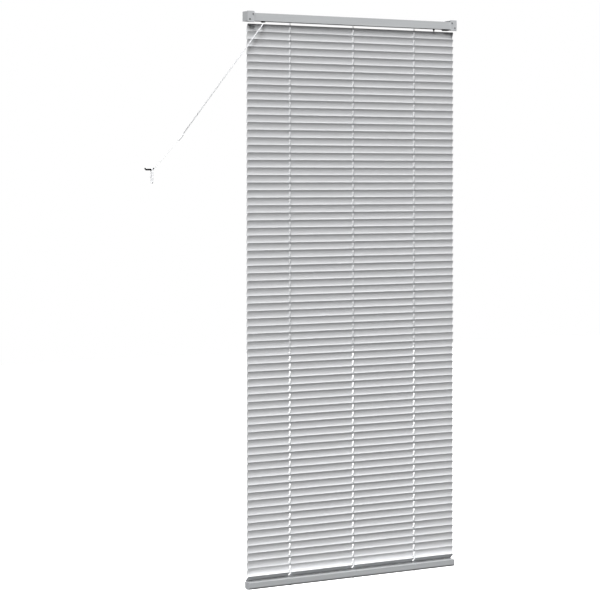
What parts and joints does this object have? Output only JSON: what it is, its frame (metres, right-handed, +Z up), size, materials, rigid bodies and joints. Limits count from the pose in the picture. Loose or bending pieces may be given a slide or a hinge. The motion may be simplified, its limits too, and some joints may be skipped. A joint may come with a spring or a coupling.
{
  "type": "venetian blind",
  "caption": "Horizontal slatted window blind with a headrail on box brackets, cord ladders, a bottom rail, a worm tilter, a cord lock and a wall cleat for the pull cord.",
  "frame": {"origin": "wall plane behind the brackets, at the centre of their four rear screw holes", "axes": "+X along the headrail to the right as seen from the room, +Y into the wall, +Z up"},
  "size_m": [1.0078, 0.0314, 1.6069],
  "materials": {
    "steel_enamel": "satin silver-grey stove enamel on rolled steel",
    "zinc_plate": "zinc plated pressed steel, satin",
    "rail_enamel": "satin silver-grey stove enamel on rolled steel",
    "slat_enamel": "thin aluminium strip with a satin silver enamel",
    "white_plastic": "moulded acetal, white",
    "black_plastic": "moulded acetal, black",
    "grey_plastic": "moulded polypropylene, grey",
    "cord_fabric": "braided polyester cord, white"
  },
  "bodies": {
    "root": {"headrail": "steel_enamel", "bracket_left": "zinc_plate", "bracket_right": "zinc_plate", "door_pins": "zinc_plate", "tilter_housing": "white_plastic", "cradles": "white_plastic", "cord_lock": "black_plastic", "lift_cords": "cord_fabric", "ladder_lower": "cord_fabric", "bottom_rail": "rail_enamel", "rail_end_caps": "grey_plastic", "ladder_clips": "grey_plastic", "cleat": "black_plastic", "pull_strands": "cord_fabric", "cord_joiner": "white_plastic", "pull_cord": "cord_fabric", "cord_hank": "cord_fabric", "cord_tail": "cord_fabric", "lower_slats": "slat_enamel"},
    "tilt_rod": {"tilt_rod": "zinc_plate", "tilt_drums": "white_plastic", "tilter_gear": "white_plastic"},
    "worm": {"tilter_worm": "black_plastic"},
    "ladder_front": {"ladder_front": "cord_fabric"},
    "ladder_rear": {"ladder_rear": "cord_fabric"},
    "door_left": {"door_left": "zinc_plate"},
    "door_right": {"door_right": "zinc_plate"},
    "lock_roller": {"lock_roller": "zinc_plate"},
    "slat_01": {"slat_01": "slat_enamel"},
    "slat_02": {"slat_02": "slat_enamel"},
    "slat_03": {"slat_03": "slat_enamel"},
    "slat_04": {"slat_04": "slat_enamel"},
    "slat_05": {"slat_05": "slat_enamel"},
    "slat_06": {"slat_06": "slat_enamel"},
    "slat_07": {"slat_07": "slat_enamel"},
    "slat_08": {"slat_08": "slat_enamel"},
    "slat_09": {"slat_09": "slat_enamel"},
    "slat_10": {"slat_10": "slat_enamel"},
    "slat_11": {"slat_11": "slat_enamel"},
    "slat_12": {"slat_12": "slat_enamel"},
    "slat_13": {"slat_13": "slat_enamel"},
    "slat_14": {"slat_14": "slat_enamel"},
    "slat_15": {"slat_15": "slat_enamel"},
    "slat_16": {"slat_16": "slat_enamel"},
    "slat_17": {"slat_17": "slat_enamel"},
    "slat_18": {"slat_18": "slat_enamel"},
    "slat_19": {"slat_19": "slat_enamel"},
    "slat_20": {"slat_20": "slat_enamel"},
    "slat_21": {"slat_21": "slat_enamel"},
    "slat_22": {"slat_22": "slat_enamel"},
    "slat_23": {"slat_23": "slat_enamel"},
    "slat_24": {"slat_24": "slat_enamel"},
    "slat_25": {"slat_25": "slat_enamel"},
    "slat_26": {"slat_26": "slat_enamel"},
    "slat_27": {"slat_27": "slat_enamel"},
    "slat_28": {"slat_28": "slat_enamel"},
    "slat_29": {"slat_29": "slat_enamel"},
    "slat_30": {"slat_30": "slat_enamel"},
    "slat_31": {"slat_31": "slat_enamel"},
    "slat_32": {"slat_32": "slat_enamel"}
  },
  "joints": [
    {"name": "tilt", "type": "hinge", "parent": "root", "child": "tilt_rod", "pos_m": [0, -0.015, 0], "axis": [1, 0, 0], "range_deg": [0, 130]},
    {"name": "slat_01_tilt", "type": "hinge", "parent": "root", "child": "slat_01", "pos_m": [0, -0.015, -0.032], "axis": [1, 0, 0], "range_deg": [0, 130]},
    {"name": "slat_02_tilt", "type": "hinge", "parent": "root", "child": "slat_02", "pos_m": [0, -0.015, -0.053], "axis": [1, 0, 0], "range_deg": [0, 130]},
    {"name": "slat_03_tilt", "type": "hinge", "parent": "root", "child": "slat_03", "pos_m": [0, -0.015, -0.074], "axis": [1, 0, 0], "range_deg": [0, 130]},
    {"name": "slat_04_tilt", "type": "hinge", "parent": "root", "child": "slat_04", "pos_m": [0, -0.015, -0.095], "axis": [1, 0, 0], "range_deg": [0, 130]},
    {"name": "slat_05_tilt", "type": "hinge", "parent": "root", "child": "slat_05", "pos_m": [0, -0.015, -0.116], "axis": [1, 0, 0], "range_deg": [0, 130]},
    {"name": "slat_06_tilt", "type": "hinge", "parent": "root", "child": "slat_06", "pos_m": [0, -0.015, -0.137], "axis": [1, 0, 0], "range_deg": [0, 130]},
    {"name": "slat_07_tilt", "type": "hinge", "parent": "root", "child": "slat_07", "pos_m": [0, -0.015, -0.158], "axis": [1, 0, 0], "range_deg": [0, 130]},
    {"name": "slat_08_tilt", "type": "hinge", "parent": "root", "child": "slat_08", "pos_m": [0, -0.015, -0.179], "axis": [1, 0, 0], "range_deg": [0, 130]},
    {"name": "slat_09_tilt", "type": "hinge", "parent": "root", "child": "slat_09", "pos_m": [0, -0.015, -0.2], "axis": [1, 0, 0], "range_deg": [0, 130]},
    {"name": "slat_10_tilt", "type": "hinge", "parent": "root", "child": "slat_10", "pos_m": [0, -0.015, -0.221], "axis": [1, 0, 0], "range_deg": [0, 130]},
    {"name": "slat_11_tilt", "type": "hinge", "parent": "root", "child": "slat_11", "pos_m": [0, -0.015, -0.242], "axis": [1, 0, 0], "range_deg": [0, 130]},
    {"name": "slat_12_tilt", "type": "hinge", "parent": "root", "child": "slat_12", "pos_m": [0, -0.015, -0.263], "axis": [1, 0, 0], "range_deg": [0, 130]},
    {"name": "slat_13_tilt", "type": "hinge", "parent": "root", "child": "slat_13", "pos_m": [0, -0.015, -0.284], "axis": [1, 0, 0], "range_deg": [0, 130]},
    {"name": "slat_14_tilt", "type": "hinge", "parent": "root", "child": "slat_14", "pos_m": [0, -0.015, -0.305], "axis": [1, 0, 0], "range_deg": [0, 130]},
    {"name": "slat_15_tilt", "type": "hinge", "parent": "root", "child": "slat_15", "pos_m": [0, -0.015, -0.326], "axis": [1, 0, 0], "range_deg": [0, 130]},
    {"name": "slat_16_tilt", "type": "hinge", "parent": "root", "child": "slat_16", "pos_m": [0, -0.015, -0.347], "axis": [1, 0, 0], "range_deg": [0, 130]},
    {"name": "slat_17_tilt", "type": "hinge", "parent": "root", "child": "slat_17", "pos_m": [0, -0.015, -0.368], "axis": [1, 0, 0], "range_deg": [0, 130]},
    {"name": "slat_18_tilt", "type": "hinge", "parent": "root", "child": "slat_18", "pos_m": [0, -0.015, -0.389], "axis": [1, 0, 0], "range_deg": [0, 130]},
    {"name": "slat_19_tilt", "type": "hinge", "parent": "root", "child": "slat_19", "pos_m": [0, -0.015, -0.41], "axis": [1, 0, 0], "range_deg": [0, 130]},
    {"name": "slat_20_tilt", "type": "hinge", "parent": "root", "child": "slat_20", "pos_m": [0, -0.015, -0.431], "axis": [1, 0, 0], "range_deg": [0, 130]},
    {"name": "slat_21_tilt", "type": "hinge", "parent": "root", "child": "slat_21", "pos_m": [0, -0.015, -0.452], "axis": [1, 0, 0], "range_deg": [0, 130]},
    {"name": "slat_22_tilt", "type": "hinge", "parent": "root", "child": "slat_22", "pos_m": [0, -0.015, -0.473], "axis": [1, 0, 0], "range_deg": [0, 130]},
    {"name": "slat_23_tilt", "type": "hinge", "parent": "root", "child": "slat_23", "pos_m": [0, -0.015, -0.494], "axis": [1, 0, 0], "range_deg": [0, 130]},
    {"name": "slat_24_tilt", "type": "hinge", "parent": "root", "child": "slat_24", "pos_m": [0, -0.015, -0.515], "axis": [1, 0, 0], "range_deg": [0, 130]},
    {"name": "slat_25_tilt", "type": "hinge", "parent": "root", "child": "slat_25", "pos_m": [0, -0.015, -0.536], "axis": [1, 0, 0], "range_deg": [0, 130]},
    {"name": "slat_26_tilt", "type": "hinge", "parent": "root", "child": "slat_26", "pos_m": [0, -0.015, -0.557], "axis": [1, 0, 0], "range_deg": [0, 130]},
    {"name": "slat_27_tilt", "type": "hinge", "parent": "root", "child": "slat_27", "pos_m": [0, -0.015, -0.578], "axis": [1, 0, 0], "range_deg": [0, 130]},
    {"name": "slat_28_tilt", "type": "hinge", "parent": "root", "child": "slat_28", "pos_m": [0, -0.015, -0.599], "axis": [1, 0, 0], "range_deg": [0, 130]},
    {"name": "slat_29_tilt", "type": "hinge", "parent": "root", "child": "slat_29", "pos_m": [0, -0.015, -0.62], "axis": [1, 0, 0], "range_deg": [0, 130]},
    {"name": "slat_30_tilt", "type": "hinge", "parent": "root", "child": "slat_30", "pos_m": [0, -0.015, -0.641], "axis": [1, 0, 0], "range_deg": [0, 130]},
    {"name": "slat_31_tilt", "type": "hinge", "parent": "root", "child": "slat_31", "pos_m": [0, -0.015, -0.662], "axis": [1, 0, 0], "range_deg": [0, 130]},
    {"name": "slat_32_tilt", "type": "hinge", "parent": "root", "child": "slat_32", "pos_m": [0, -0.015, -0.683], "axis": [1, 0, 0], "range_deg": [0, 130]},
    {"name": "ladder_front_swing", "type": "hinge", "parent": "tilt_rod", "child": "ladder_front", "pos_m": [0, -0.01985, 0.01377], "axis": [1, 0, 0], "range_deg": [-130, 0]},
    {"name": "ladder_rear_swing", "type": "hinge", "parent": "tilt_rod", "child": "ladder_rear", "pos_m": [0, -0.012, -0.01429], "axis": [1, 0, 0], "range_deg": [-130, 0]},
    {"name": "worm_turn", "type": "hinge", "parent": "root", "child": "worm", "pos_m": [0.274, -0.02195, 0], "axis": [0, 0, 1], "range_deg": [0, 2600]},
    {"name": "door_left_swing", "type": "hinge", "parent": "root", "child": "door_left", "pos_m": [-0.339, -0.0289, -0.015], "axis": [1, 0, 0], "range_deg": [0, 100]},
    {"name": "door_right_swing", "type": "hinge", "parent": "root", "child": "door_right", "pos_m": [0.339, -0.0289, -0.015], "axis": [1, 0, 0], "range_deg": [0, 100]},
    {"name": "lock_roller_slide", "type": "slide", "parent": "root", "child": "lock_roller", "axis": [0.8572, 0, 0.515], "range_m": [0, 0.0025]}
  ],
  "couplings": [
    {"joint": "slat_01_tilt", "follows": "tilt", "ratio": 1},
    {"joint": "slat_02_tilt", "follows": "tilt", "ratio": 1},
    {"joint": "slat_03_tilt", "follows": "tilt", "ratio": 1},
    {"joint": "slat_04_tilt", "follows": "tilt", "ratio": 1},
    {"joint": "slat_05_tilt", "follows": "tilt", "ratio": 1},
    {"joint": "slat_06_tilt", "follows": "tilt", "ratio": 1},
    {"joint": "slat_07_tilt", "follows": "tilt", "ratio": 1},
    {"joint": "slat_08_tilt", "follows": "tilt", "ratio": 1},
    {"joint": "slat_09_tilt", "follows": "tilt", "ratio": 1},
    {"joint": "slat_10_tilt", "follows": "tilt", "ratio": 1},
    {"joint": "slat_11_tilt", "follows": "tilt", "ratio": 1},
    {"joint": "slat_12_tilt", "follows": "tilt", "ratio": 1},
    {"joint": "slat_13_tilt", "follows": "tilt", "ratio": 1},
    {"joint": "slat_14_tilt", "follows": "tilt", "ratio": 1},
    {"joint": "slat_15_tilt", "follows": "tilt", "ratio": 1},
    {"joint": "slat_16_tilt", "follows": "tilt", "ratio": 1},
    {"joint": "slat_17_tilt", "follows": "tilt", "ratio": 1},
    {"joint": "slat_18_tilt", "follows": "tilt", "ratio": 1},
    {"joint": "slat_19_tilt", "follows": "tilt", "ratio": 1},
    {"joint": "slat_20_tilt", "follows": "tilt", "ratio": 1},
    {"joint": "slat_21_tilt", "follows": "tilt", "ratio": 1},
    {"joint": "slat_22_tilt", "follows": "tilt", "ratio": 1},
    {"joint": "slat_23_tilt", "follows": "tilt", "ratio": 1},
    {"joint": "slat_24_tilt", "follows": "tilt", "ratio": 1},
    {"joint": "slat_25_tilt", "follows": "tilt", "ratio": 1},
    {"joint": "slat_26_tilt", "follows": "tilt", "ratio": 1},
    {"joint": "slat_27_tilt", "follows": "tilt", "ratio": 1},
    {"joint": "slat_28_tilt", "follows": "tilt", "ratio": 1},
    {"joint": "slat_29_tilt", "follows": "tilt", "ratio": 1},
    {"joint": "slat_30_tilt", "follows": "tilt", "ratio": 1},
    {"joint": "slat_31_tilt", "follows": "tilt", "ratio": 1},
    {"joint": "slat_32_tilt", "follows": "tilt", "ratio": 1},
    {"joint": "ladder_front_swing", "follows": "tilt", "ratio": -1},
    {"joint": "ladder_rear_swing", "follows": "tilt", "ratio": -1},
    {"joint": "worm_turn", "follows": "tilt", "ratio": 20}
  ]
}
